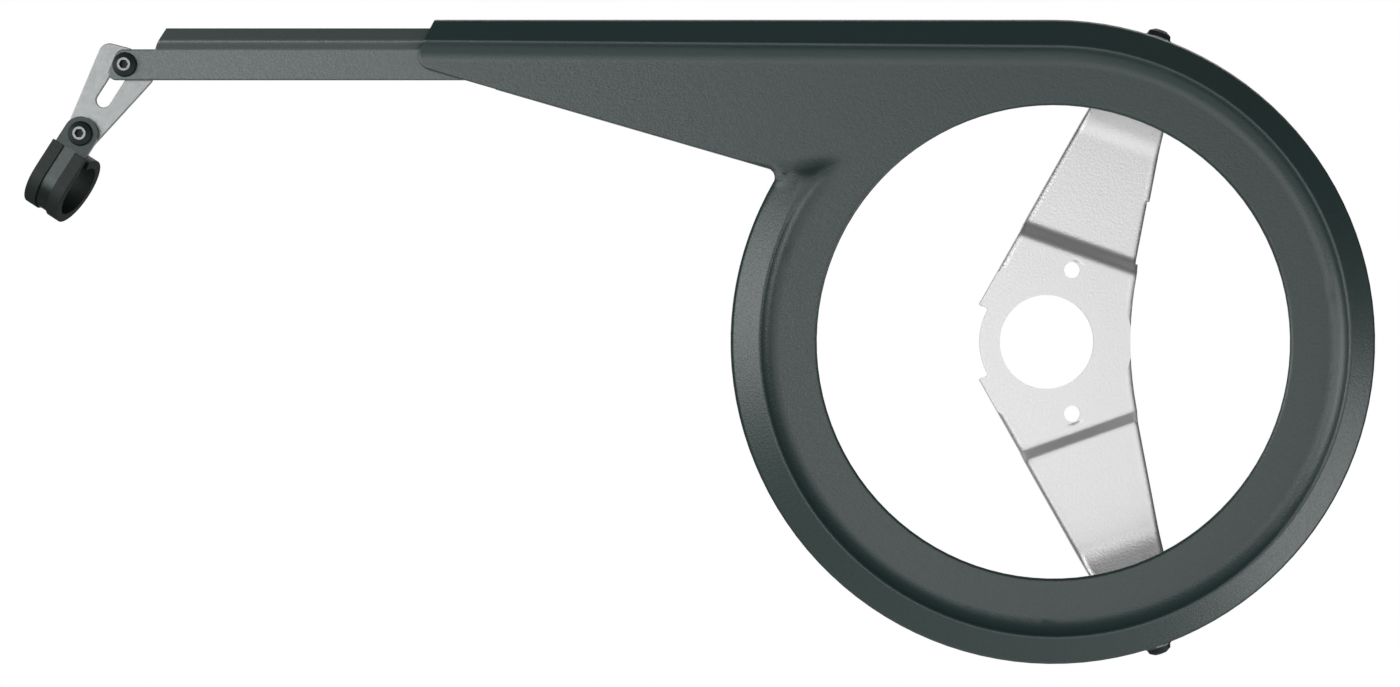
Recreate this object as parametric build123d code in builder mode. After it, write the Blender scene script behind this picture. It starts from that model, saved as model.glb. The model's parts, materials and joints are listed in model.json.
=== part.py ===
from build123d import *
from math import atan2, cos, degrees, radians, sin, sqrt, tan
import os

os.makedirs("parts", exist_ok=True)

# Chain guard of a bicycle, seen from the chain side.
# The origin is on the bottom bracket axis, in the front plane of the bracket's plate.
# X points to the front of the bicycle, Z up, and Y inboard, away from the viewer.

# Channel section of the guard, shared by its ring and its tail
rim_radius = 118.0
ring_width = 31.4
bevel_width = 10.6
bevel_depth = 6.5
cove_width = 6.4
cove_depth = 4.6
rim_depth = 17.6
wall = 2.0
ridge_break = 0.6
rim_break = 0.9
edge_break = 0.5
guard_offset = 21.6

# Tail of the guard, which runs back over the chain
tail_length = 235.0
top_setback = 8.6
ridge_setback = 4.9
tail_ridge_rise = 1.9
tail_end_drop = 16.54
skirt_angle = 16.2
skirt_end_round = 5.0
tail_end_round = 10.0
corner_round = 3.3
lip_depth = 3.0
lip_start = 32.0
runout_angle = 9.4
runout_slope = 50.0
ring_overrun = 2.0

# Extension that telescopes in the tail
extension_overlap = 100.0
web_drop = 22.1
web_height = 11.2
web_thickness = 2.0
web_gap = 0.3
hood_gap = 1.1
hood_rise = 2.4
hood_shoulder = 2.5
hood_back_depth = 8.0
hood_reach = 89.8
hood_relief = 5.0
hood_bend = 1.4
end_lean = 27.0
bar_end_round = 3.5
bar_tip_reach = 2.7
bar_foot_reach = 1.2
bar_spare = 8.0

# Guides that hold the web behind the skirt
guide_width = 12.0
guide_thickness = 1.5
guide_hook = 3.0
guide_setbacks = (36.0, 83.0)

# Screws, washers and nuts, all M5
shank_radius = 2.45
screw_hole = 5.5
head_radius = 4.6
head_height = 2.75
head_flat_radius = 2.4
head_shoulder_radius = 4.1
head_shoulder_height = 1.7
socket_size = 3.0
socket_depth = 1.8
washer_radius = 5.0
washer_thickness = 1.0
nut_size = 8.0
nut_height = 4.0
nut_play = 0.05
screw_stub = 1.5

# Slotted link between the extension and the clamp
link_bolt_reach = 15.1
link_angle = 57.4
link_pitch = 30.0
link_thickness = 2.0
link_apex_radius = 6.0
link_crown_radius = 10.0
link_crown_reach = 6.2
link_corner_radius = 4.2
link_corner_width = 14.0
slot_travel = 15.2
slot_spare = 1.0

# Rubber lined clamp for the chain stay
tube_radius = 10.0
liner_thickness = 1.3
liner_lip = 0.8
liner_lip_width = 4.7
liner_side = 0.9
liner_play = 0.05
band_thickness = 1.2
band_width = 12.6
clamp_reach = 19.0
loop_twist = 7.0
clamp_bend = 1.8
liner_start = 6.9
liner_inner_start = 12.0
liner_end_gap = 8.0

# Bottom bracket bracket, pressed from sheet
sheet = 1.5
shell_bore_radius = 17.5
plate_radius = 25.1
arm_angle = 70.5
notch_step = 3.5
left_edge_angle = 60.6
right_edge_angle = 79.1
waist_x = 31.2
waist_radius = 132.0
small_hole_radius = 3.0
small_hole_place = 28.4
joggle_start = 35.0
joggle_run = 4.6
joggle_step = 4.0
joggle_bend = 2.0
slope_setback = 40.0
slope_bend = 20.0
slope_angle = 18.0
tab_bend = 2.0
tab_length = 10.5
tab_half_width = 11.5
flange_depth = 6.0
flange_setback = 18.0
waist_flange_run = 4.0
far_flange_start = 28.0
edge_setback = 0.8
notch_round = 0.8

# Depths of the guard's faces, from the section
rim_edge_y = -guard_offset
rim_back_y = rim_edge_y + rim_depth
ridge_y = rim_edge_y - bevel_depth
face_y = ridge_y + cove_depth
rim_screw_y = rim_edge_y + rim_depth / 2
ridge_radius = rim_radius - bevel_width
opening_radius = rim_radius - ring_width
ring_plane = Plane(origin=(0, 0, 0), x_dir=(0, 0, 1), z_dir=(-1, 0, 0))


def front_plane(y, origin=(0, 0), angle=0):
    """Plane seen from the front at a depth, turned by an angle about its origin."""
    turn = radians(angle)
    return Plane(origin=(origin[0], y, origin[1]), x_dir=(cos(turn), 0, sin(turn)), z_dir=(0, -1, 0))


def side_plane(origin, angle):
    """Plane whose x runs at an angle in the front view and whose y is depth."""
    turn = radians(angle)
    return Plane(origin=(origin[0], 0, origin[1]), x_dir=(cos(turn), 0, sin(turn)),
                 z_dir=(-sin(turn), 0, cos(turn)))


def radial_plane(radius, angle):
    """Plane of a rim screw at a radius, facing out along an angle in the front view."""
    turn = radians(angle)
    return Plane(origin=(radius * cos(turn), rim_screw_y, radius * sin(turn)), x_dir=(0, 1, 0),
                 z_dir=(cos(turn), 0, sin(turn)))


def channel(plane, ridge, low, inset=0.0):
    """Filled section of the guard: height above the axis along x, depth along y."""
    reach = 3 * inset
    cove_start = ridge - cove_width
    with BuildSketch(plane) as section:
        with BuildLine():
            Polyline((low - reach, rim_back_y + reach), (low - reach, face_y), (cove_start, face_y))
            cove = TangentArc((cove_start, face_y), (ridge, ridge_y), tangent=(1, 0), mode=Mode.PRIVATE)
            if inset > 0:
                Polyline(cove @ 0, cove @ 0.5, cove @ 1)
            else:
                add(cove)
            Polyline((ridge, ridge_y), (rim_radius, rim_edge_y), (rim_radius, rim_back_y + reach),
                     (low - reach, rim_back_y + reach))
        make_face()
        if inset > 0:
            offset(amount=-inset, kind=Kind.INTERSECTION)
        else:
            chamfer(section.vertices().sort_by_distance((ridge, ridge_y))[0], ridge_break)
            chamfer(section.vertices().sort_by_distance((rim_radius, rim_edge_y))[0], rim_break)
    return section.sketch


# Side view of the tail
tail_top_length = tail_length - top_setback
tail_ridge_length = tail_length - ridge_setback
tail_end_height = rim_radius - tail_end_drop


def skirt_height(x):
    """Height of the skirt's lower edge at a place along the tail."""
    return tail_end_height - (x + tail_length) * tan(radians(skirt_angle))


lower_dir = (cos(radians(skirt_angle)), -sin(radians(skirt_angle)))
reach_b = -tail_length * lower_dir[0] + tail_end_height * lower_dir[1]
reach_c = tail_length ** 2 + tail_end_height ** 2 - rim_radius ** 2
corner_run = -reach_b - sqrt(reach_b ** 2 - reach_c)
corner = (-tail_length + corner_run * lower_dir[0], tail_end_height + corner_run * lower_dir[1])
tail_end_ridge = ridge_radius + tail_ridge_rise
tail_slope = tail_ridge_rise / tail_ridge_length
tail_span = tail_length + wall
tail_low = ridge_radius - cove_width - 2 * wall

with BuildSketch(front_plane(face_y)) as tail_side:
    with BuildLine():
        Polyline((0, 0), (0, rim_radius), (-tail_top_length, rim_radius),
                 (-tail_ridge_length, tail_end_ridge),
                 (-tail_length, tail_end_height), corner, (0, 0))
    make_face()
    fillet(tail_side.vertices().sort_by_distance((-tail_ridge_length, tail_end_ridge))[0], tail_end_round)
    fillet(tail_side.vertices().sort_by_distance((-tail_length, tail_end_height))[0], skirt_end_round)

# Flat part of the tail's side: below the cove, and above the line where the ring's bevel runs out
runout = radians(runout_angle)
runout_dir = (cos(runout), sin(runout))
runout_b = corner[0] * runout_dir[0] + corner[1] * runout_dir[1]
runout_run = -runout_b - sqrt(runout_b ** 2 - rim_radius ** 2 + opening_radius ** 2)
runout_end = (corner[0] + runout_run * runout_dir[0], corner[1] + runout_run * runout_dir[1])
runout_end_angle = degrees(atan2(runout_end[1], runout_end[0]))
ring_arc = 360.0 - (runout_end_angle - 90.0) + ring_overrun
cove_line = ridge_radius - cove_width - wall

with BuildSketch(front_plane(face_y)) as skirt_side:
    add(tail_side.sketch_local)
    with BuildLine():
        Polyline((wall, cove_line), (-tail_span, cove_line + tail_span * tail_slope),
                 (-tail_span, rim_radius + wall), (wall, rim_radius + wall), (wall, cove_line))
    make_face(mode=Mode.SUBTRACT)
    with BuildLine():
        tuck = 0.35 * wall
        tuck_start = (corner[0] + tuck * sin(runout), corner[1] - tuck * cos(runout))
        tuck_run = runout_run + wall
        tuck_end = (tuck_start[0] + tuck_run * runout_dir[0], tuck_start[1] + tuck_run * runout_dir[1])
        Polyline(tuck_start, tuck_end, (0, 0), tuck_start)
    make_face(mode=Mode.SUBTRACT)
    Circle(opening_radius, mode=Mode.SUBTRACT)

# Soft inside corner between the skirt and the ring, and the lip along the lower edge
fill_reach = bevel_width * (bevel_depth - cove_depth) / bevel_depth
with BuildSketch(front_plane(face_y)) as corner_fill:
    add(tail_side.sketch_local)
    Circle(rim_radius)
    fillet(corner_fill.vertices().sort_by_distance(corner)[0], corner_round)
    Circle(rim_radius - fill_reach, mode=Mode.SUBTRACT)
    add(tail_side.sketch_local, mode=Mode.SUBTRACT)
    with Locations(corner):
        Circle(corner_round, mode=Mode.INTERSECT)

with BuildSketch(front_plane(face_y)) as lip_side:
    with BuildLine():
        lip_x = -tail_length + lip_start * lower_dir[0]
        lip_up = wall / cos(radians(skirt_angle))
        end_x = corner[0] + wall
        Polyline((lip_x, skirt_height(lip_x)), (lip_x, skirt_height(lip_x) + lip_up),
                 (end_x, skirt_height(end_x) + lip_up), (end_x, skirt_height(end_x)),
                 (lip_x, skirt_height(lip_x)))
    make_face()


def runout_wedge(inset, back_y):
    """What lies beyond the ramp by which the ring's raised bevel runs out into the skirt."""
    low_y = ridge_y - 2 * wall
    level = face_y + inset
    run = (level - low_y) / tan(radians(runout_slope))
    start = inset * tan(radians(90 - runout_slope) / 2)
    plane = Plane(origin=(corner[0], 0, corner[1]), x_dir=(sin(runout), 0, -cos(runout)),
                  z_dir=(cos(runout), 0, sin(runout)))
    with BuildSketch(plane) as ramp:
        with BuildLine():
            Polyline((-rim_radius / 2, back_y), (start, back_y), (start, level), (start + run, low_y),
                     (-rim_radius / 2, low_y), (-rim_radius / 2, back_y))
        make_face()
    with BuildPart() as wedge:
        extrude(ramp.sketch, amount=runout_run + 4 * wall)
        extrude(ramp.sketch, amount=-corner_round)
    return wedge.part


# Ring of the guard
ring_section = channel(ring_plane, ridge_radius, opening_radius)
ring_hollow = channel(ring_plane, ridge_radius, opening_radius, wall)
outer_wedge = runout_wedge(0, rim_back_y + wall)
inner_wedge = runout_wedge(wall, face_y + wall + ridge_break)

with BuildPart() as ring_void:
    revolve(ring_hollow, axis=Axis.Y, revolution_arc=ring_arc)
    add(inner_wedge, mode=Mode.SUBTRACT)

with BuildPart() as ring:
    revolve(ring_section, axis=Axis.Y, revolution_arc=ring_arc)
    add(outer_wedge, mode=Mode.SUBTRACT)
    add(ring_void.part, mode=Mode.SUBTRACT)

# Channel of the tail
end_shift = tail_span * tail_slope
tail_start_section = channel(ring_plane, ridge_radius, tail_low)
tail_end_section = channel(ring_plane.offset(tail_span), ridge_radius + end_shift, tail_low)
tail_start_hollow = channel(ring_plane, ridge_radius, tail_low, wall)
tail_end_hollow = channel(ring_plane.offset(tail_span), ridge_radius + end_shift, tail_low, wall)

with BuildPart() as tail_void:
    loft([tail_start_hollow.face(), tail_end_hollow.face()], ruled=True)

with BuildPart() as tail_cut:
    extrude(tail_side.sketch, amount=rim_depth * 2, both=True)

with BuildPart() as tail:
    loft([tail_start_section.face(), tail_end_section.face()], ruled=True)
    add(tail_void.part, mode=Mode.SUBTRACT)
    add(tail_cut.part, mode=Mode.INTERSECT)

# Hooked guides behind the skirt, under the web of the extension
web_bottom = rim_radius - web_drop
web_front_y = face_y + wall + web_gap
web_back_y = web_front_y + web_thickness
guide_top = web_bottom - web_gap
guide_back_y = web_back_y + web_gap + guide_thickness

with BuildPart() as guides:
    for setback in guide_setbacks:
        with BuildSketch(ring_plane.offset(tail_length - setback - guide_width / 2)) as hook:
            with BuildLine():
                Polyline((guide_top - guide_thickness, face_y + wall / 2), (guide_top, face_y + wall / 2),
                         (guide_top, guide_back_y - guide_thickness),
                         (guide_top + guide_hook, guide_back_y - guide_thickness),
                         (guide_top + guide_hook, guide_back_y), (guide_top - guide_thickness, guide_back_y),
                         (guide_top - guide_thickness, face_y + wall / 2))
            make_face()
        extrude(amount=guide_width)

# Guard shell, one moulding
with BuildSketch(ring_plane) as opening_edge:
    with Locations((opening_radius, face_y)):
        Rectangle(2 * edge_break, 2 * edge_break, rotation=45)

with BuildPart() as guard_shell:
    add(tail.part)
    extrude(skirt_side.sketch, amount=-wall)
    extrude(corner_fill.sketch, amount=-(wall + lip_depth))
    extrude(lip_side.sketch, amount=-(wall + lip_depth))
    add(guides.part)
    add(ring.part)
    revolve(opening_edge.sketch, axis=Axis.Y, mode=Mode.SUBTRACT)
    for angle in (arm_angle, -arm_angle):
        with Locations(radial_plane(rim_radius, angle)):
            Cylinder(screw_hole / 2, 4 * wall, mode=Mode.SUBTRACT)

guard_shell.part.label = "guard_shell"
export_step(guard_shell.part, "parts/guard_shell.step")

# Rear extension: a flat web with a hooded top edge, cut back to a bare bar at its end
web_top = web_bottom + web_height
hood_top = rim_radius - wall - hood_gap
hood_front_y = rim_edge_y + hood_gap
hood_back_y = hood_front_y + hood_back_depth
crest_z = web_top + hood_shoulder
crest_y = web_front_y - hood_rise
hood_end = tail_length + hood_reach
link_bolt_x = -hood_end - link_bolt_reach
extension_in = tail_ridge_length - extension_overlap
extension_out = -link_bolt_x + bar_spare


def hood_section(plane, inset=0.0):
    """Filled section of the extension."""
    reach = 3 * inset
    low = web_bottom - reach
    with BuildSketch(plane) as section:
        with BuildLine():
            Polyline((low, hood_back_y + reach), (low, web_front_y), (web_top, web_front_y),
                     (crest_z, crest_y), (hood_top, hood_front_y), (hood_top, hood_back_y + reach),
                     (low, hood_back_y + reach))
        make_face()
        if inset > 0:
            offset(amount=-inset, kind=Kind.INTERSECTION)
        else:
            fillet(section.vertices().sort_by_distance((crest_z, crest_y))[0], hood_bend)
            fillet(section.vertices().sort_by_distance((web_top, web_front_y))[0], hood_bend)
            fillet(section.vertices().sort_by_distance((hood_top, hood_front_y))[0], edge_break)
    return section.sketch


extension_plane = ring_plane.offset(extension_in)
extension_outer = hood_section(extension_plane)
extension_hollow = hood_section(extension_plane, web_thickness)
extension_length = extension_out - extension_in
bar_middle = web_bottom + web_height / 2
lean = tan(radians(end_lean))
link_bolt = (link_bolt_x, bar_middle)

with BuildSketch(front_plane(web_front_y)) as extension_side:
    with BuildLine():
        hood_foot = -hood_end - (hood_top - web_top) * lean
        bar_tip_x = link_bolt_x - bar_tip_reach
        bar_foot_x = bar_tip_x - web_height * lean + bar_foot_reach
        Polyline((-extension_in, web_bottom), (-extension_in, hood_top), (-hood_end, hood_top),
                 (hood_foot, web_top), (bar_tip_x, web_top), (bar_foot_x, web_bottom),
                 (-extension_in, web_bottom))
    make_face()
    fillet(extension_side.vertices().sort_by(Axis.X)[0], bar_end_round - 1)
    fillet(extension_side.vertices().sort_by_distance((bar_tip_x, web_top))[0], bar_end_round)

with BuildSketch(front_plane(web_front_y)) as relief_side:
    with Locations((-hood_end, hood_top)):
        Rectangle(2 * hood_relief, 2 * (hood_top - web_top))

with BuildPart() as extension_cut:
    extrude(extension_side.sketch, amount=2 * hood_back_depth, both=True)

with BuildPart() as tail_extension:
    extrude(extension_outer, amount=extension_length)
    extrude(extension_hollow, amount=extension_length, mode=Mode.SUBTRACT)
    add(extension_cut.part, mode=Mode.INTERSECT)
    with BuildSketch(front_plane(web_back_y - web_gap)):
        add(relief_side.sketch_local)
    extrude(amount=-2 * hood_back_depth, mode=Mode.SUBTRACT)
    with BuildSketch(front_plane(web_front_y)):
        with Locations(link_bolt):
            Circle(screw_hole / 2)
    extrude(amount=2 * web_thickness, both=True, mode=Mode.SUBTRACT)

tail_extension.part.label = "tail_extension"
export_step(tail_extension.part, "parts/tail_extension.step")

# Slotted link plate behind the bar, from the clamp's bolt up to the extension's bolt
link_turn = radians(link_angle)
clamp_bolt = (link_bolt[0] - link_pitch * cos(link_turn), link_bolt[1] - link_pitch * sin(link_turn))
link_front_y = web_back_y
link_back_y = link_front_y + link_thickness
crown_place = link_pitch + link_crown_reach - link_crown_radius

with BuildSketch(front_plane(link_front_y, clamp_bolt, link_angle)) as link_side:
    with BuildLine():
        CenterArc((0, 0), link_apex_radius, 0, 360)
        CenterArc((crown_place, 0), link_crown_radius, 0, 360)
        CenterArc((link_pitch, link_corner_width / 2), link_corner_radius, 0, 360)
        CenterArc((link_pitch, -link_corner_width / 2), link_corner_radius, 0, 360)
    make_hull()
    with Locations((link_pitch - slot_travel / 2 + slot_spare / 2, 0)):
        SlotCenterToCenter(slot_travel + slot_spare, screw_hole, mode=Mode.SUBTRACT)
    Circle(screw_hole / 2, mode=Mode.SUBTRACT)

with BuildPart() as link_plate:
    extrude(link_side.sketch, amount=-link_thickness)

link_plate.part.label = "link_plate"
export_step(link_plate.part, "parts/link_plate.step")

# Clamp band: two tabs under the screw and a loop that goes back round the tube, twisted about the tabs' line
tab_front_y = link_front_y - 2 * band_thickness
front_line_y = tab_front_y + band_thickness / 2
rear_line_y = front_line_y + band_thickness
loop_radius = tube_radius + liner_thickness + band_thickness / 2
loop_y = front_line_y + loop_radius
bend_run = sqrt((loop_radius + clamp_bend) ** 2 - (loop_radius - band_thickness - clamp_bend) ** 2)
bend_place = clamp_reach - bend_run
bend_y = rear_line_y + clamp_bend
bend_angle = degrees(atan2(loop_y - bend_y, bend_run))
clamp_plane = side_plane(clamp_bolt, link_angle + 180)
tab_radius = band_width / 2
tangent_angle = 90 - bend_angle
band_arc = 360 - tangent_angle
tab_middle_y = tab_front_y + band_thickness
tab_run = liner_start - liner_play
loop_start = (link_apex_radius + tab_run) / 2
twist_axis = Axis((clamp_bolt[0], tab_middle_y, clamp_bolt[1]), clamp_plane.x_dir)


def loop_path(shift, start):
    """Line along the front tab and round the loop, shifted outwards from the band's middle."""
    with BuildLine() as path:
        Line((start, front_line_y - shift), (clamp_reach, front_line_y - shift))
        CenterArc((clamp_reach, loop_y), loop_radius + shift, -90, band_arc - liner_end_gap)
    return path.line


with BuildSketch(clamp_plane) as loop_section:
    with BuildLine():
        Line((loop_start, front_line_y), (clamp_reach, front_line_y))
        CenterArc((clamp_reach, loop_y), loop_radius, -90, band_arc)
        CenterArc((bend_place, bend_y), clamp_bend, -90, tangent_angle)
        Line((loop_start, rear_line_y), (bend_place, rear_line_y))
    trace(line_width=band_thickness)

with BuildPart() as band_loop:
    extrude(loop_section.sketch, amount=band_width / 2, both=True)

with BuildSketch(front_plane(tab_front_y, clamp_bolt, link_angle + 180)) as tab_side:
    Circle(tab_radius)
    with Locations((tab_run / 2, 0)):
        Rectangle(tab_run, band_width)

with BuildPart() as clamp_band:
    extrude(tab_side.sketch, amount=-2 * band_thickness)
    add(band_loop.part.rotate(twist_axis, loop_twist))
    with BuildSketch(front_plane(tab_front_y, clamp_bolt)):
        Circle(screw_hole / 2)
    extrude(amount=3 * band_thickness, both=True, mode=Mode.SUBTRACT)

clamp_band.part.label = "clamp_band"
export_step(clamp_band.part, "parts/clamp_band.step")

# Rubber liner: inside the loop, round the band's edges and over them as two lips
inner_path = loop_path(-(band_thickness + liner_thickness) / 2, liner_inner_start)
edge_path = loop_path(0, liner_start)
lip_path = loop_path((band_thickness + liner_lip) / 2, liner_start)
liner_width = band_width + 2 * (liner_side + liner_play)

with BuildSketch(clamp_plane) as liner_inside:
    trace(inner_path, line_width=liner_thickness - 2 * liner_play)
with BuildSketch(clamp_plane) as liner_edge:
    trace(edge_path, line_width=band_thickness + 4 * liner_play)
with BuildSketch(clamp_plane) as liner_outside:
    trace(lip_path, line_width=liner_lip - 2 * liner_play)

with BuildPart() as clamp_liner:
    extrude(liner_inside.sketch, amount=liner_width / 2, both=True)
    for side in (1, -1):
        edge_plane = clamp_plane.offset(side * liner_width / 2)
        with BuildSketch(edge_plane):
            add(liner_edge.sketch_local)
        extrude(amount=-side * liner_side)
        with BuildSketch(edge_plane):
            add(liner_outside.sketch_local)
        extrude(amount=-side * liner_lip_width)

twisted_liner = clamp_liner.part.rotate(twist_axis, loop_twist)
twisted_liner.label = "clamp_liner"
export_step(twisted_liner, "parts/clamp_liner.step")


# Fasteners, each on a plane whose z points out of the screw's head
def button_screw(seat, grip):
    """Button head screw with a hexagon socket; grip is its length under the head."""
    profile_plane = Plane(seat.origin, x_dir=seat.x_dir, z_dir=-seat.y_dir)
    with BuildSketch(profile_plane) as profile:
        with BuildLine():
            Polyline((0, head_height), (0, -grip), (shank_radius, -grip), (shank_radius, 0), (head_radius, 0),
                     (head_shoulder_radius, head_shoulder_height), (head_flat_radius, head_height),
                     (0, head_height))
        make_face()
    with BuildSketch(seat.offset(head_height)) as socket:
        RegularPolygon(socket_size / 2, 6, major_radius=False)
    with BuildPart() as screw:
        revolve(profile.sketch, axis=Axis(seat.origin, seat.z_dir))
        extrude(socket.sketch, amount=-socket_depth, mode=Mode.SUBTRACT)
    return screw.part


def washer(seat):
    """Flat washer that stands on a plane."""
    with BuildSketch(seat) as ring_face:
        Circle(washer_radius)
        Circle(screw_hole / 2, mode=Mode.SUBTRACT)
    with BuildPart() as disc:
        extrude(ring_face.sketch, amount=washer_thickness)
    return disc.part


def nut(seat):
    """Hexagon nut that hangs under a plane."""
    with BuildSketch(seat) as hexagon:
        RegularPolygon(nut_size / 2, 6, major_radius=False)
        Circle(shank_radius + nut_play, mode=Mode.SUBTRACT)
    with BuildPart() as body:
        extrude(hexagon.sketch, amount=-nut_height)
    return body.part


def write(part, name):
    """Labels a finished piece and writes it."""
    part.label = name
    export_step(part, "parts/" + name + ".step")


# Bolt of the link, through the bar and the slot, and bolt of the clamp, through the tabs and the link
for name, place, head_y in (("link", link_bolt, web_front_y), ("clamp", clamp_bolt, tab_front_y)):
    grip = link_back_y + washer_thickness + nut_height + screw_stub - head_y
    write(button_screw(front_plane(head_y, place), grip), name + "_screw")
    write(washer(front_plane(link_back_y + washer_thickness, place)), name + "_washer")
    write(nut(front_plane(link_back_y + washer_thickness, place)), name + "_nut")

# Radial screws that hold the bracket's tabs to the rim
rim_inside = rim_radius - wall
tab_seat = sqrt(rim_inside ** 2 - tab_half_width ** 2)
for name, angle in (("upper", arm_angle), ("lower", -arm_angle)):
    grip = rim_radius + washer_thickness - tab_seat + sheet + nut_height + screw_stub
    write(button_screw(radial_plane(rim_radius + washer_thickness, angle), grip), "rim_screw_" + name)
    write(washer(radial_plane(rim_radius, angle)), "rim_washer_" + name)
    write(nut(radial_plane(tab_seat - sheet, angle)), "rim_nut_" + name)

# Bracket: outline of its upper half in the front view
left_edge_offset = plate_radius + notch_step
edge_turn = radians(left_edge_angle)
right_turn = radians(right_edge_angle)
foot_turn = radians(left_edge_angle + 90)
foot = (left_edge_offset * cos(foot_turn), left_edge_offset * sin(foot_turn))
arm_span = rim_radius + 2 * wall
edge_length = arm_span - foot[1]
left_end = (foot[0] + edge_length * cos(edge_turn), foot[1] + edge_length * sin(edge_turn))
waist_end_z = waist_radius * cos(right_turn)
waist_end_x = waist_x + waist_radius * (1 - sin(right_turn))
right_length = arm_span - waist_end_z
right_end = (waist_end_x + right_length * cos(right_turn), waist_end_z + right_length * sin(right_turn))


def along_right(distance, inset=0.0):
    """Point on the upper arm's right edge, or inside it, at a distance from the waist's end."""
    x = waist_end_x + distance * cos(right_turn) - inset * sin(right_turn)
    return (x, waist_end_z + distance * sin(right_turn) + inset * cos(right_turn))


def along_left(distance, inset=0.0):
    """Point on the upper arm's left edge, or inside it, at a distance from its foot."""
    x = foot[0] + distance * cos(edge_turn) + inset * sin(edge_turn)
    return (x, foot[1] + distance * sin(edge_turn) - inset * cos(edge_turn))


waist_middle = (waist_x + waist_radius * (1 - cos((radians(90) - right_turn) / 2)),
                waist_radius * sin((radians(90) - right_turn) / 2))
with BuildSketch(front_plane(0)) as arm_outline:
    with BuildLine():
        Polyline((-plate_radius, 0), (waist_x, 0))
        ThreePointArc((waist_x, 0), waist_middle, (waist_end_x, waist_end_z))
        Polyline((waist_end_x, waist_end_z), right_end, left_end, foot,
                 (plate_radius * cos(foot_turn), plate_radius * sin(foot_turn)))
        half_turn = (foot_turn + radians(180)) / 2
        ThreePointArc((plate_radius * cos(foot_turn), plate_radius * sin(foot_turn)),
                      (plate_radius * cos(half_turn), plate_radius * sin(half_turn)), (-plate_radius, 0))
    make_face()
    notch = arm_outline.vertices().sort_by_distance(
        (plate_radius * cos(foot_turn), plate_radius * sin(foot_turn)))[0]
    fillet(notch, notch_round)

# Front surface of the sheet along the arm: plate, joggle, arm, slope and tab
slope_corner = rim_radius - slope_setback + slope_bend * tan(radians(slope_angle) / 2)
tab_face = tab_seat - sheet
slope_end_y = joggle_step - (tab_face - slope_corner) * tan(radians(slope_angle))
arm_points = [(-plate_radius - sheet, 0), (joggle_start, 0), (joggle_start + joggle_run, joggle_step),
              (slope_corner, joggle_step), (tab_face, slope_end_y), (tab_face, slope_end_y - tab_length)]
arm_bends = [joggle_bend, joggle_bend, slope_bend, tab_bend]
arm_plane = side_plane((0, 0), arm_angle)
arm_width = 2 * joggle_start
flange_end = rim_radius - flange_setback


def arm_line(shift):
    """Front surface of the arm, moved back by a depth."""
    return [(u, y + shift) for u, y in arm_points]


with BuildSketch(arm_plane) as sheet_section:
    with BuildLine():
        FilletPolyline(*arm_line(0), radius=arm_bends)
        offset(amount=sheet, side=Side.LEFT)
    make_face()

with BuildSketch(arm_plane) as flange_section:
    with BuildLine():
        near = FilletPolyline(*arm_line(0)[:-1], radius=arm_bends[:-1])
        far = FilletPolyline(*arm_line(flange_depth)[:-1], radius=arm_bends[:-1])
        Line(near @ 0, far @ 0)
        Line(near @ 1, far @ 1)
    make_face()
    with Locations((flange_end + arm_span / 2, 0)):
        Rectangle(arm_span, arm_span, mode=Mode.SUBTRACT)


def strip(points):
    """Thin outline of one flange in the front view."""
    with BuildSketch(front_plane(0)) as outline:
        with BuildLine():
            Polyline(*points, points[0])
        make_face()
    return outline.sketch


def right_strip(start, end, width):
    """Strip along the upper arm's right edge, between two distances from the waist's end."""
    return strip([along_right(start), along_right(end), along_right(end, width), along_right(start, width)])


flange_far = flange_end + sheet
left_strip = strip([foot, along_left(flange_far), along_left(flange_far, sheet), along_left(0, sheet)])
with BuildSketch(front_plane(0)) as waist_strip:
    with BuildLine():
        ThreePointArc((waist_x, 0), waist_middle, (waist_end_x, waist_end_z))
        Line((waist_end_x, waist_end_z), along_right(0, sheet))
        ThreePointArc(along_right(0, sheet), (waist_middle[0] - sheet * cos((radians(90) - right_turn) / 2),
                                              waist_middle[1] + sheet * sin((radians(90) - right_turn) / 2)),
                      (waist_x - sheet, 0))
        Line((waist_x - sheet, 0), (waist_x, 0))
    make_face()
short_strip = right_strip(0, waist_flange_run, sheet)
join_strip = right_strip(waist_flange_run, far_flange_start, sheet)
far_strip = right_strip(far_flange_start, flange_far, sheet)

with BuildPart() as flange_band:
    extrude(flange_section.sketch, amount=arm_width, both=True)


def flange(outline):
    """Flange that stands behind one strip of the arm's edge."""
    with BuildPart() as piece:
        extrude(outline, amount=-4 * flange_depth)
        extrude(outline, amount=4 * flange_depth)
        add(flange_band.part, mode=Mode.INTERSECT)
    return piece.part


with BuildPart() as outline_cut:
    extrude(arm_outline.sketch, amount=4 * guard_offset, both=True)

with BuildPart() as half_arm:
    extrude(sheet_section.sketch, amount=arm_width, both=True)
    add(outline_cut.part, mode=Mode.INTERSECT)

common_flanges = [flange(outline) for outline in (left_strip, waist_strip.sketch, short_strip, far_strip)]
join_flange = flange(join_strip)

with BuildPart() as bb_bracket:
    add(half_arm.part)
    for piece in common_flanges:
        add(piece)
    mirror(about=Plane.XY)
    add(mirror(join_flange, about=Plane.XY, mode=Mode.PRIVATE))
    extrude(right_strip(waist_flange_run, far_flange_start, edge_setback), amount=4 * flange_depth, both=True,
            mode=Mode.SUBTRACT)
    with BuildSketch(front_plane(-sheet)):
        Circle(shell_bore_radius)
        with PolarLocations(small_hole_place, 2, start_angle=-arm_angle, angular_range=4 * arm_angle):
            Circle(small_hole_radius)
    extrude(amount=-4 * sheet, mode=Mode.SUBTRACT)
    for angle in (arm_angle, -arm_angle):
        with Locations(radial_plane(tab_seat, angle)):
            Cylinder(screw_hole / 2, 4 * sheet, mode=Mode.SUBTRACT)

bb_bracket.part.label = "bb_bracket"
export_step(bb_bracket.part, "parts/bb_bracket.step")
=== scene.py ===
import json
import math

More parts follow.
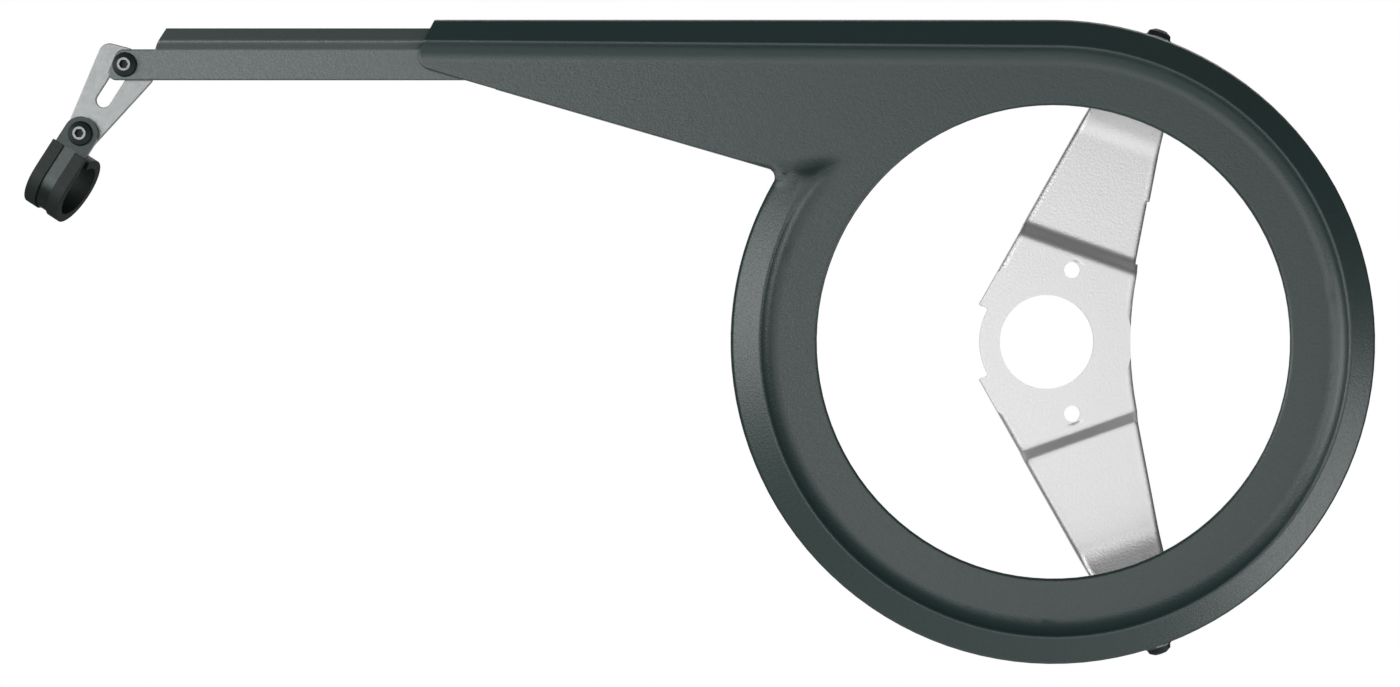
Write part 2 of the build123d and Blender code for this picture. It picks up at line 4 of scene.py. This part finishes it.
import bpy
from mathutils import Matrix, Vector


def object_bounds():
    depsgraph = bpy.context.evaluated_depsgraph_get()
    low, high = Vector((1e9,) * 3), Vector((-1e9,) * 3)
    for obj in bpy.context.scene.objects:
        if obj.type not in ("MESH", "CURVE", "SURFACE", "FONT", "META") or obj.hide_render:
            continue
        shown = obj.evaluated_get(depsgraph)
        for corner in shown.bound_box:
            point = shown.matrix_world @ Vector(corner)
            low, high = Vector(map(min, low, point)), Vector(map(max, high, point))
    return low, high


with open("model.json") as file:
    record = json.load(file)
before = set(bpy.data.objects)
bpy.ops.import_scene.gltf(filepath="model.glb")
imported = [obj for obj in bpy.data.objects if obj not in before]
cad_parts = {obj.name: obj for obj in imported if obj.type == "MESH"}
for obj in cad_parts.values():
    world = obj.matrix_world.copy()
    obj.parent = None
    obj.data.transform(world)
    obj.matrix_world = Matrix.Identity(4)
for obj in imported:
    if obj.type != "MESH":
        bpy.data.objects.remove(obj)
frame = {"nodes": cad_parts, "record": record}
cad_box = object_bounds()

# Camera: fitted to the circles of the guard. Places and sizes are in metres, the lens and sensor in millimetres
CAMERA_AT = (-0.1293, -1.1716, -0.0006)
CAMERA_TILT = 90.0  # degrees up from straight down, so it looks level at the guard's side
CAMERA_LENS = 80.8
CAMERA_SENSOR = 36.0
CAMERA_CLIP = (0.05, 50.0)

# Floor, clear of the guard, which its bracket holds up
FLOOR_DROP = 0.9
FLOOR_SIZE = (4.0, 2.2)
FLOOR_FINISH = dict(colour=(0.86, 0.86, 0.86), roughness=0.7, spread=0.05, scale=60, depth=0.0001, specular=0.2)

# World: its light on the object, the dim room that reflections show, and the white backdrop behind the guard.
# The backdrop fades in between these two values of a direction's Y, which is 1 straight behind the guard
WHITE = (1.0, 1.0, 1.0, 1.0)
SOFT_LIGHT = 0.20
DIM_ROOM = 0.055
BACKDROP_LIGHT = 1.0
BACKDROP_EDGE = (0.85, 0.98)

# Soft boxes: two behind the camera, one each at the left, the lower right and the back, one above, one below
SOFT_BOXES = {
    "front_light": dict(place=(0.40, -2.60, -0.42), aim=(0.10, 0.0, -0.05), size=(3.4, 1.9), radiance=1.27),
    "key_light": dict(place=(-1.08, -2.45, 0.30), aim=(-0.20, 0.0, 0.10), size=(1.6, 0.85), radiance=3.40),
    "left_light": dict(place=(-0.835, -0.49, 0.13), aim=(-0.11, -0.02, 0.02), size=(0.60, 0.60), radiance=4.47),
    "lower_right_light": dict(place=(0.82, -0.26, -0.44), aim=(0.10, -0.02, -0.05), size=(0.40, 0.78), radiance=3.80),
    "overhead_light": dict(place=(0.36, 0.22, 0.90), aim=(0.03, 0.0, 0.04), size=(0.60, 0.40), radiance=0.33),
    "back_light": dict(place=(0.30, 1.70, 1.50), aim=(0.0, 0.0, 0.0), size=(2.2, 1.2), radiance=2.00),
    "under_light": dict(place=(0.34, -0.85, -0.72), aim=(0.03, 0.0, -0.04), size=(0.55, 0.40), radiance=1.33),
}

# Relief of every finish: detail of the grain, strength of the bump and samples of the softened edge
GRAIN_DETAIL = 1.0
RELIEF_STRENGTH = 0.6
EDGE_SAMPLES = 16

# Softened edges of the guard: a small radius everywhere, more along the ridge and cove, and most where the
# bevel runs out. The ridge's band has its middle and half width as distances from the bottom bracket's axis,
# and as heights on the tail. The run-out has its x and z, and how far its softening reaches
EDGE_ROUNDING = 0.0009
RIDGE_ROUNDING = 0.0008
RIDGE_MIDDLE = 0.1045
RIDGE_HALF_WIDTH = 0.0085
RUN_OUT_ROUNDING = 0.0075
RUN_OUT_AT = (-0.088, 0.061)
RUN_OUT_REACH = 0.026

# Softened bends of the bracket, which start outside the circle that holds its bore and holes
BEND_ROUNDING = 0.0030
HOLES_REACH = 0.0318

# Painted highlight on the screws, as bright metal on the front of each head: its colour, the Y of a normal that faces
# the front, and how deep the foremost face lies, as a share of the piece's depth
PAINTED_HIGHLIGHT_STEEL = (0.21, 0.217, 0.217)
FACES_FRONT = -0.97
FOREMOST = 0.02


def feed(tree, value, entry):
    """Sets a node's entry to a value, or links it where the value is a socket."""
    if isinstance(value, bpy.types.NodeSocket):
        tree.links.new(value, entry)
    else:
        entry.default_value = value


def calculate(tree, operation, first, second=0.0):
    """Math node on two values, each a socket or a number; gives its result."""
    node = tree.nodes.new("ShaderNodeMath")
    node.operation = operation
    feed(tree, first, node.inputs[0])
    feed(tree, second, node.inputs[1])
    return node.outputs[0]


def remap(tree, value, source, target):
    """Value carried from one range to another and held at its ends."""
    node = tree.nodes.new("ShaderNodeMapRange")
    node.inputs["From Min"].default_value, node.inputs["From Max"].default_value = source
    node.inputs["To Min"].default_value, node.inputs["To Max"].default_value = target
    tree.links.new(value, node.inputs["Value"])
    return node.outputs["Result"]


def coordinates(tree, kind):
    """The x, y and z of one kind of texture coordinate."""
    where = tree.nodes.new("ShaderNodeTexCoord")
    parts = tree.nodes.new("ShaderNodeSeparateXYZ")
    tree.links.new(where.outputs[kind], parts.inputs[0])
    return parts.outputs["X"], parts.outputs["Y"], parts.outputs["Z"]


def length(tree, across, up):
    """Length of a line from how far it goes across and up."""
    squares = calculate(tree, "ADD", calculate(tree, "MULTIPLY", across, across), calculate(tree, "MULTIPLY", up, up))
    return calculate(tree, "SQRT", squares)


def band(tree, distance, middle, half_width):
    """One in the middle of a band of distances, falling to zero at its edges."""
    off = calculate(tree, "ABSOLUTE", calculate(tree, "SUBTRACT", distance, middle))
    return calculate(tree, "MAXIMUM", calculate(tree, "SUBTRACT", 1.0, calculate(tree, "DIVIDE", off, half_width)))


def along_ridge(tree, x, z):
    """One on the ridge and cove, round the ring and along the tail, falling to zero beside them."""
    on_ring = band(tree, length(tree, x, z), RIDGE_MIDDLE, RIDGE_HALF_WIDTH)
    at_height = band(tree, z, RIDGE_MIDDLE, RIDGE_HALF_WIDTH)
    on_tail = calculate(tree, "MULTIPLY", at_height, calculate(tree, "LESS_THAN", x, 0.0))
    return calculate(tree, "MAXIMUM", on_ring, on_tail)


def at_run_out(tree, x, z):
    """One where the bevel runs out, falling to zero at its reach."""
    aside = calculate(tree, "SUBTRACT", x, RUN_OUT_AT[0])
    above = calculate(tree, "SUBTRACT", z, RUN_OUT_AT[1])
    return band(tree, length(tree, aside, above), 0.0, RUN_OUT_REACH)


def ridge_rounding(tree):
    """Radius of the guard's softened edges: wider along the ridge, widest at the run-out, small elsewhere."""
    x, _, z = coordinates(tree, "Object")
    wide = calculate(tree, "MULTIPLY", along_ridge(tree, x, z), RIDGE_ROUNDING)
    widest = calculate(tree, "MULTIPLY", at_run_out(tree, x, z), RUN_OUT_ROUNDING)
    return calculate(tree, "ADD", calculate(tree, "MAXIMUM", wide, widest), EDGE_ROUNDING)


def bend_rounding(tree):
    """Radius of the bracket's softened bends, which is zero round its bore and holes."""
    x, _, z = coordinates(tree, "Object")
    outside = calculate(tree, "GREATER_THAN", length(tree, x, z), HOLES_REACH)
    return calculate(tree, "MULTIPLY", outside, BEND_ROUNDING)


def shader(name, colour, roughness, metallic, specular):
    """New material with its Principled shader's plain values set."""
    mat = bpy.data.materials.new(name)
    mat.use_nodes = True
    node = mat.node_tree.nodes["Principled BSDF"]
    node.inputs["Base Color"].default_value = (*colour, 1.0)
    node.inputs["Metallic"].default_value = metallic
    node.inputs["Roughness"].default_value = roughness
    node.inputs["Specular IOR Level"].default_value = specular
    return mat, node


def noise(tree, scale):
    """Noise in the object's own coordinates; scale counts grains along a metre."""
    where = tree.nodes.new("ShaderNodeTexCoord")
    grain = tree.nodes.new("ShaderNodeTexNoise")
    grain.inputs["Scale"].default_value = scale
    grain.inputs["Detail"].default_value = GRAIN_DETAIL
    tree.links.new(where.outputs["Object"], grain.inputs["Vector"])
    return grain.outputs["Fac"]


def soften_edges(tree, rounding):
    """Normal that is rounded at edges, by a radius in metres or a function that gives one as a socket."""
    soft_edge = tree.nodes.new("ShaderNodeBevel")
    soft_edge.samples = EDGE_SAMPLES
    feed(tree, rounding(tree) if callable(rounding) else rounding, soft_edge.inputs["Radius"])
    return soft_edge.outputs["Normal"]


def raise_grain(tree, grain, depth, rounding):
    """Normal with fine relief from a noise, over softened edges where a rounding is given; depth in metres."""
    relief = tree.nodes.new("ShaderNodeBump")
    relief.inputs["Strength"].default_value = RELIEF_STRENGTH
    relief.inputs["Distance"].default_value = depth
    tree.links.new(grain, relief.inputs["Height"])
    if rounding is not None:
        tree.links.new(soften_edges(tree, rounding), relief.inputs["Normal"])
    return relief.outputs["Normal"]


def grained(name, colour, roughness, spread, scale, depth, metallic=0.0, specular=0.5, rounding=None):
    """Material with fine relief, a roughness that varies by its spread, and softened edges."""
    mat, node = shader(name, colour, roughness, metallic, specular)
    tree = mat.node_tree
    grain = noise(tree, scale)
    varied = remap(tree, grain, (0.0, 1.0), (roughness - spread, roughness + spread))
    tree.links.new(varied, node.inputs["Roughness"])
    tree.links.new(raise_grain(tree, grain, depth, rounding), node.inputs["Normal"])
    return mat


def painted_highlight_tip(mat):
    """Painted highlight: bright metal on the flat ring round a screw's socket, the foremost face, where it looks to
    the front.
    """
    tree = mat.node_tree
    node = tree.nodes["Principled BSDF"]
    # painted highlight: front-facing parts of the foremost face turn to bright metal
    faces_front = calculate(tree, "LESS_THAN", coordinates(tree, "Normal")[1], FACES_FRONT)
    foremost = calculate(tree, "LESS_THAN", coordinates(tree, "Generated")[1], FOREMOST)
    highlight_face = calculate(tree, "MULTIPLY", faces_front, foremost)
    tint = tree.nodes.new("ShaderNodeMix")
    tint.data_type = "RGBA"
    tint.inputs["A"].default_value = node.inputs["Base Color"].default_value
    tint.inputs["B"].default_value = (*PAINTED_HIGHLIGHT_STEEL, 1.0)
    tree.links.new(highlight_face, tint.inputs["Factor"])
    tree.links.new(highlight_face, node.inputs["Metallic"])
    tree.links.new(tint.outputs["Result"], node.inputs["Base Color"])


# Finish of each material, by the name of its slot in the record. The plastics and the rubber are dark of
# themselves, and most of what shows is their gloss
FINISHES = {
    "guard_plastic": dict(colour=(0.00975, 0.0258, 0.0243), roughness=0.42, spread=0.09, scale=1300, depth=0.00011,
                          specular=0.75, rounding=ridge_rounding),
    "extension_plastic": dict(colour=(0.0398, 0.0547, 0.0532), roughness=0.42, spread=0.09, scale=1300, depth=0.00011,
                              specular=0.75, rounding=0.0010),
    "bracket_sheet": dict(colour=(0.645, 0.645, 0.645), roughness=0.36, spread=0.06, scale=1200, depth=0.00008,
                          metallic=0.78, rounding=bend_rounding),
    "zinc_steel": dict(colour=(0.173, 0.18, 0.18), roughness=0.38, spread=0.06, scale=700, depth=0.00004,
                       metallic=1.0, rounding=0.0005),
    "clamp_steel": dict(colour=(0.021, 0.0263, 0.0255), roughness=0.32, spread=0.05, scale=700, depth=0.00004,
                        metallic=0.8),
    "black_steel": dict(colour=(0.009, 0.0135, 0.0135), roughness=0.50, spread=0.05, scale=900, depth=0.00003,
                        specular=0.22),
    "liner_rubber": dict(colour=(0.0075, 0.0112, 0.0105), roughness=0.55, spread=0.06, scale=800, depth=0.00005,
                         specular=0.2, rounding=0.0003),
}


def dress():
    """Gives every node the material of its slot in the record."""
    materials = {name: grained(name, **finish) for name, finish in FINISHES.items()}
    # painted highlight on the front face of each screw head
    painted_highlight_tip(materials["black_steel"])
    slots = {entry["node"]: entry["material_slot"] for entry in frame["record"]["subparts"]}
    for name, node in frame["nodes"].items():
        node.data.materials.clear()
        node.data.materials.append(materials[slots[name]])


def background(tree, strength):
    """White background, as bright as its strength, a socket or a number."""
    node = tree.nodes.new("ShaderNodeBackground")
    node.inputs["Color"].default_value = WHITE
    feed(tree, strength, node.inputs["Strength"])
    return node.outputs[0]


def mix_shaders(tree, share, first, second):
    """First shader where the share is zero, second shader where it is one."""
    node = tree.nodes.new("ShaderNodeMixShader")
    for value, entry in zip((share, first, second), node.inputs):
        tree.links.new(value, entry)
    return node.outputs[0]


def make_world():
    """White behind the guard, to the camera and in reflections, and a dim studio in front of it."""
    world = bpy.data.worlds.new("studio")
    bpy.context.scene.world = world
    world.use_nodes = True
    tree = world.node_tree
    tree.nodes.clear()
    path = tree.nodes.new("ShaderNodeLightPath").outputs
    mirrored = calculate(tree, "MAXIMUM", path["Is Glossy Ray"], path["Is Transmission Ray"])
    behind = remap(tree, coordinates(tree, "Generated")[1], BACKDROP_EDGE, (DIM_ROOM, BACKDROP_LIGHT))
    around = mix_shaders(tree, mirrored, background(tree, SOFT_LIGHT), background(tree, behind))
    seen = mix_shaders(tree, path["Is Camera Ray"], around, background(tree, BACKDROP_LIGHT))
    tree.links.new(seen, tree.nodes.new("ShaderNodeOutputWorld").inputs["Surface"])


def soft_box(name, place, aim, size, radiance):
    """Soft rectangular light at a place, turned to an aim, as bright as its radiance says."""
    data = bpy.data.lights.new(name, "AREA")
    data.shape = "RECTANGLE"
    data.size, data.size_y = size
    data.energy = radiance * math.pi * size[0] * size[1]
    lamp = bpy.data.objects.new(name, data)
    bpy.context.collection.objects.link(lamp)
    lamp.location = place
    lamp.visible_camera = False
    lamp.rotation_mode = "QUATERNION"
    lamp.rotation_quaternion = (Vector(aim) - Vector(place)).to_track_quat("-Z", "Y")


def make_lights():
    """All the soft boxes."""
    for name, box in SOFT_BOXES.items():
        soft_box(name, **box)


def make_floor():
    """Plain pale floor under the guard."""
    low, high = cad_box
    middle = (low + high) / 2
    height = low.z - FLOOR_DROP
    mesh = bpy.data.meshes.new("floor")
    corners = [(middle.x + sx * FLOOR_SIZE[0] / 2, middle.y + sy * FLOOR_SIZE[1] / 2, height)
               for sx, sy in ((-1, -1), (1, -1), (1, 1), (-1, 1))]
    mesh.from_pydata(corners, [], [(0, 1, 2, 3)])
    floor = bpy.data.objects.new("floor", mesh)
    bpy.context.collection.objects.link(floor)
    mesh.materials.append(grained("floor", **FLOOR_FINISH))


def make_camera():
    """Camera that looks straight at the guard's side."""
    data = bpy.data.cameras.new("camera")
    data.sensor_width = CAMERA_SENSOR
    data.lens = CAMERA_LENS
    data.clip_start, data.clip_end = CAMERA_CLIP
    camera = bpy.data.objects.new("camera", data)
    bpy.context.collection.objects.link(camera)
    camera.location = CAMERA_AT
    camera.rotation_euler = (math.radians(CAMERA_TILT), 0.0, 0.0)
    bpy.context.scene.camera = camera


dress()
make_world()
make_lights()
make_floor()
make_camera()

scene = bpy.context.scene
scene.view_settings.view_transform = "Standard"
